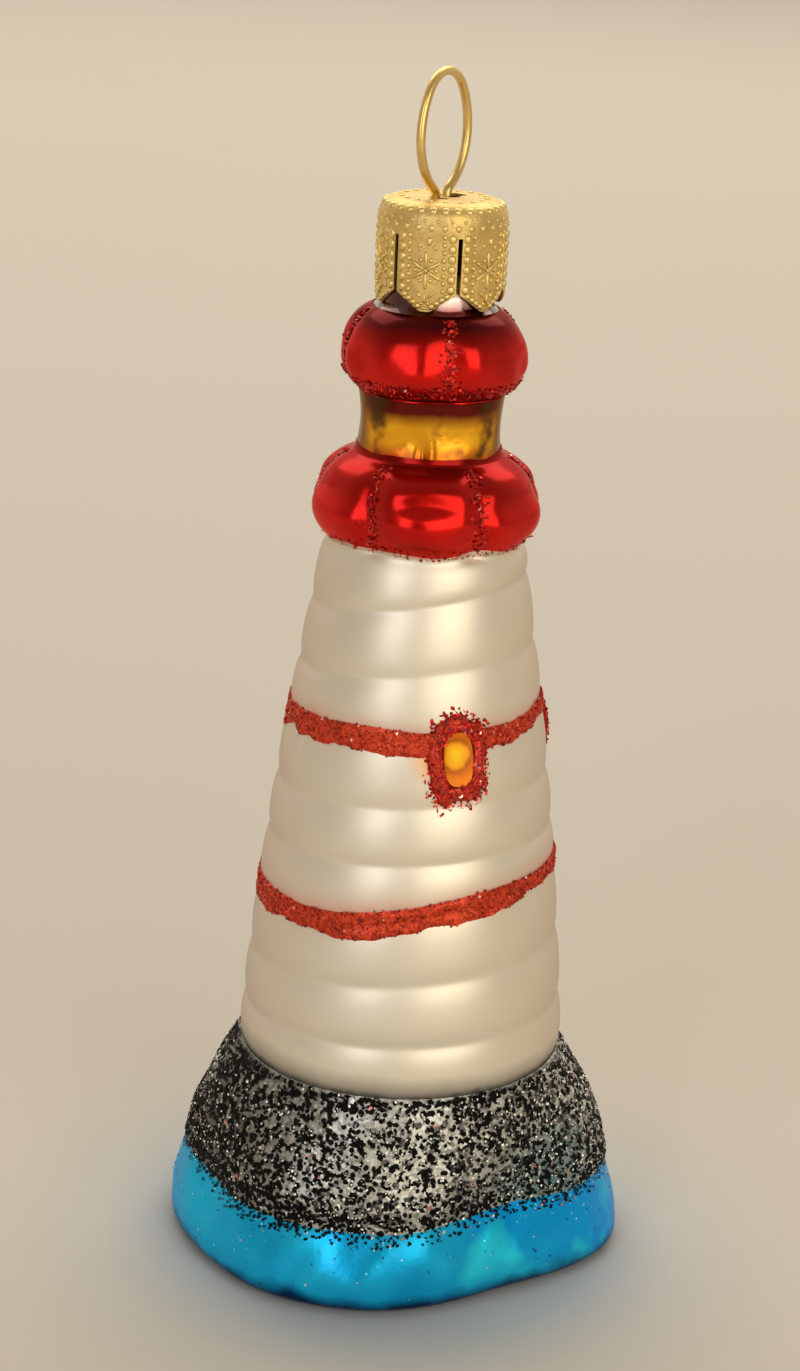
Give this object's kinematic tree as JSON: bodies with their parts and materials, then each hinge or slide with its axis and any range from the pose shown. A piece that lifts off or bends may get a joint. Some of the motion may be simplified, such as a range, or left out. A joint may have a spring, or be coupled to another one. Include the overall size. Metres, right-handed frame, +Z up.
{
  "type": "lighthouse tree ornament",
  "caption": "Blown-glass tree ornament shaped like a banded lighthouse on a rock in the sea, with a lobed gallery, lantern and roof, a stamped crown cap and a spring-wire hanging loop.",
  "frame": {"origin": "on the tower's axis, in the flat underside of the glass base", "axes": "+Z up the tower, -Y out of the front window, +X to the right seen from the front"},
  "size_m": [0.0457, 0.0425, 0.1207],
  "materials": {
    "silvered_glass": "clear blown glass, silvered inside",
    "blue_lacquer": "transparent turquoise lacquer over silver, glossy",
    "black_silver_glitter": "dense black and silver glitter, sparkling",
    "pearl_white_lacquer": "pearl white satin lacquer over silver",
    "red_lacquer": "transparent red lacquer over silver, glossy",
    "amber_lacquer": "transparent amber lacquer over silver, glossy",
    "orange_red_glitter": "fine orange-red glitter",
    "crimson_glitter": "coarse crimson glitter",
    "gold_cap_metal": "gold-coloured stamped sheet",
    "gold_wire": "gold-coloured spring wire"
  },
  "bodies": {
    "root": {"glass_shell": "silvered_glass", "sea_lacquer": "blue_lacquer", "rock_glitter": "black_silver_glitter", "tower_lacquer": "pearl_white_lacquer", "gallery_lacquer": "red_lacquer", "lantern_lacquer": "amber_lacquer", "roof_lacquer": "red_lacquer", "lower_band": "orange_red_glitter", "upper_band": "orange_red_glitter", "gallery_rim_glitter": "crimson_glitter", "eave_glitter": "crimson_glitter", "front_window_frame": "crimson_glitter", "front_window_pane": "amber_lacquer", "right_window_frame": "crimson_glitter", "right_window_pane": "amber_lacquer", "back_window_frame": "crimson_glitter", "back_window_pane": "amber_lacquer", "gallery_rib_1": "crimson_glitter", "gallery_rib_2": "crimson_glitter", "gallery_rib_3": "crimson_glitter", "gallery_rib_4": "crimson_glitter", "gallery_rib_5": "crimson_glitter", "gallery_rib_6": "crimson_glitter", "roof_rib_1": "crimson_glitter", "roof_rib_2": "crimson_glitter", "roof_rib_3": "crimson_glitter", "roof_rib_4": "crimson_glitter", "crown_cap": "gold_cap_metal", "hanger_wire": "gold_wire"}
  },
  "joints": []
}
